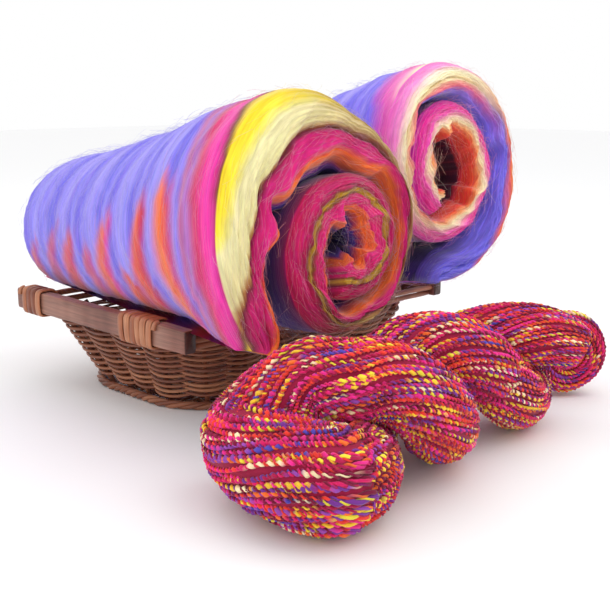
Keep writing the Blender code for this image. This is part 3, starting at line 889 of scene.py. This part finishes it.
def yarn_layer(pile, path, radii, count, seed, closed=False, step=0.00135):
    """Two-ply yarn laid side by side along a bundle, covering it."""
    dense = smooth_path(path, 1600, closed)
    if closed:
        dense = np.vstack([dense, dense[:1]])
    seg = np.linalg.norm(np.diff(dense, axis=0), axis=1)
    heading = np.diff(dense, axis=0) / seg[:, None]
    bend = np.linalg.norm(np.gradient(heading, axis=0), axis=1) / seg
    bend = np.convolve(np.pad(bend, 20, "edge"), np.ones(41) / 41, "valid")
    share = np.linspace(0, 1, len(dense))
    thick = np.interp(share, np.linspace(0, 1, len(radii)), radii)
    stretch = 1 + np.minimum(thick[1:] * bend, 2.5)  # the outer yarns run further than the middle
    run = np.concatenate([[0], np.cumsum(seg * stretch)])
    middle = np.concatenate([[0], np.cumsum(seg)])
    length = run[-1]
    n = int(length / step)
    at = np.linspace(0, length, n, endpoint=not closed)
    fine = np.stack([np.interp(at, run, dense[:, k]) for k in range(3)], -1)
    t, a, b = frames(fine, closed)
    if closed:  # spread the frame's leftover turn over the ring
        left = math.atan2(np.dot(np.cross(a[-1], a[0]), t[0]), np.dot(a[-1], a[0]))
        ang = np.linspace(0, left, n)[:, None]
        a = a * np.cos(ang) + np.cross(t, a) * np.sin(ang)
        b = np.cross(t, a)
    u = np.linspace(0, 1, n, endpoint=not closed)
    R = np.interp(at, run, thick)
    bundle_twist = 0 if closed else YARN_LAY * np.interp(at, run, middle)
    for i in range(count):
        rng = np.random.default_rng(seed + i)
        phi = TAU * (i + 0.25 * rng.standard_normal()) / count + bundle_twist
        if not closed:
            phi = phi + 0.12 * wander(u * 3, seed + 500 + i)
        else:
            phi = phi + 0.10 * np.sin(TAU * (u + rng.random()))
        size = R * 0.0675 * 64 / max(count, 40)
        if closed:
            sway = np.sin(TAU * (u * 2 + rng.random()))
        else:
            sway = wander(u * 4, seed + 900 + i)
        deep = R - size * 1.10 + 0.0010 * sway
        out = a * np.cos(phi)[:, None] + b * np.sin(phi)[:, None]
        side = np.cross(t, out)
        centre = fine + out * deep[:, None]
        slub = np.clip(1 + 0.55 * wander(u * length / 0.07, seed + 1300 + i), 0.55, 1.8)
        if closed:
            slub = 1 + 0.35 * np.sin(TAU * (u * 3 + rng.random()))
        spin = TAU * u * length / PLY_PITCH + rng.random() * 6
        if closed:
            spin = TAU * u * round(length / LOOP_PLY_PITCH) + rng.random() * 6
        for ply in range(2):
            rad = size * (0.62 * slub if ply else 0.44 * (1.25 - 0.2 * slub))
            arm = size * (0.42 if ply else 0.62)
            w = spin + math.pi * ply
            mid = centre + arm[:, None] * (np.cos(w)[:, None] * out + np.sin(w)[:, None] * side)
            sides = 6 if ply else 5
            ang = TAU * np.arange(sides) / sides
            ring = np.cos(ang)[None, :, None] * out[:, None] + np.sin(ang)[None, :, None] * side[:, None]
            verts = mid[:, None] + rad[:, None, None] * ring
            verts[..., 2] = np.maximum(verts[..., 2], 0.0004)
            cols = np.repeat(ply_colours(n, step, seed + 2000 + 2 * i + ply, dark=not ply)[:, None], sides, 1)
            along = u * length
            lay = np.stack([np.repeat((along + i * 1.3 + ply * 0.7)[:, None], sides, 1),
                            np.repeat((np.cos(ang) * 0.002)[None], n, 0),
                            np.repeat((np.sin(ang) * 0.002)[None], n, 0)], -1)
            caps = () if closed else (np.arange(sides)[::-1], (n - 1) * sides + np.arange(sides))
            pile.add(verts, grid_faces(n, sides, closed), cols, lay, caps)


CORE_DEEP = 0.0026  # the filling inside the yarns stays this far under their outer line
LOOP_CENTRE, LOOP_MAJOR, LOOP_MINOR, LOOP_CORE = (0.1561, -0.2802, 0.0410), 0.0231, 0.0159, 0.0122


def build_skein():
    path, radii = hank_path()
    pile = Pile()
    share = np.linspace(0, 1, 260)
    thick = np.interp(share, np.linspace(0, 1, len(radii)), radii)
    v, f, caps, lay = tube(smooth_path(path, 260), thick - CORE_DEEP, 20)
    # the filling is dark crimson, a yarn colour kept dark as painted shade in the gaps between the yarns
    pile.add(v, f, srgb(156, 28, 66), lay, caps)
    yarn_layer(pile, path, radii, 78, 3000, step=0.00120)
    obj = pile.build("twisted_hank", yarn_mat, "skein")
    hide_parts("skein_hank")

    centre = np.array(LOOP_CENTRE)
    across = np.array((0.80, -0.60, 0.0))
    ang = TAU * np.arange(48) / 48
    up = np.array([0, 0, 1.0])
    ring = centre + LOOP_MAJOR * (np.cos(ang)[:, None] * across + np.sin(ang)[:, None] * up)
    pile = Pile()
    v, f, caps, lay = tube(ring, LOOP_CORE, 16, closed=True)
    # the filling is dark crimson, a yarn colour kept dark as painted shade in the gaps between the yarns
    pile.add(v, f, srgb(156, 28, 66), lay)
    yarn_layer(pile, ring, np.full(48, LOOP_MINOR), 34, 5000, closed=True)
    obj = pile.build("tucked_loop", yarn_mat, "skein")
    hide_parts("skein_end_loop")


# ---------------------------------------------------------------- stage
def build_stage():
    mat = bpy.data.materials.new("paper_floor")
    mat.use_nodes = True
    shader = mat.node_tree.nodes["Principled BSDF"]
    shader.inputs["Base Color"].default_value = (0.955, 0.955, 0.96, 1)
    shader.inputs["Roughness"].default_value = 0.85
    shader.inputs["Specular IOR Level"].default_value = 0.1
    mesh = bpy.data.meshes.new("floor")
    s = 6.0
    mesh.from_pydata([(-s, -s, 0), (s, -s, 0), (s, s, 0), (-s, s, 0)], [], [(0, 1, 2, 3)])
    floor = bpy.data.objects.new("floor", mesh)
    floor.data.materials.append(mat)
    bpy.context.scene.collection.objects.link(floor)

    world = bpy.data.worlds.new("studio")
    bpy.context.scene.world = world
    world.use_nodes = True
    world.node_tree.nodes["Background"].inputs["Color"].default_value = (1, 1, 1, 1)
    world.node_tree.nodes["Background"].inputs["Strength"].default_value = 1.0

    def area(name, place, target, size, power):
        data = bpy.data.lights.new(name, "AREA")
        data.shape = "SQUARE"
        data.size = size
        data.energy = power
        lamp = bpy.data.objects.new(name, data)
        bpy.context.scene.collection.objects.link(lamp)
        lamp.location = place
        lamp.rotation_euler = (Vector(target) - Vector(place)).to_track_quat("-Z", "Y").to_euler()

    area("key", (0.3, -1.0, 1.5), (0, -0.1, 0.1), 1.2, 5)
    area("fill", (-1.4, -0.6, 0.9), (0, -0.1, 0.1), 1.4, 2)
    area("top", (0.0, 0.3, 1.8), (0, 0, 0), 1.6, 4)
    bpy.context.scene.view_settings.view_transform = "Standard"


def build_camera():
    az, el, dist, focal = math.radians(45.69), math.radians(12.33), 0.60, 973.96
    target = Vector((-0.2171, -0.3088, 0.1476))
    back = Vector((-math.sin(az) * math.cos(el), -math.cos(az) * math.cos(el), math.sin(el)))
    data = bpy.data.cameras.new("camera")
    data.sensor_width = 36
    data.lens = 36 * focal / 610
    data.clip_start = 0.01
    cam = bpy.data.objects.new("camera", data)
    bpy.context.scene.collection.objects.link(cam)
    side = Vector((0, 0, 1)).cross(back).normalized()
    up = back.cross(side)
    turn = Matrix((side, up, back)).transposed().to_4x4()
    cam.matrix_world = Matrix.Translation(target + dist * back) @ turn
    bpy.context.scene.camera = cam


build_basket()
build_batt("rolled_batt_left", "batt_left", "left_batt", BATT_LEFT, WIND_LEFT,
           (WEB_LEFT, LATE_LEFT, ROLL_LEFT), make_skin(BANDS_LEFT, 0), SQUASH_LEFT,
           (0.29, -0.20, 0.66), (0.45, -0.16, -0.10), 11)
build_batt("rolled_batt_right", "batt_right", "right_batt", BATT_RIGHT, WIND_RIGHT,
           (WEB_RIGHT, LATE_RIGHT, ROLL_RIGHT), make_skin(BANDS_RIGHT, 14), SQUASH_RIGHT,
           (0.02, 0.04, 0.30), (0.20, 0.0, 0.0), 31)
build_skein()
build_stage()
build_camera()
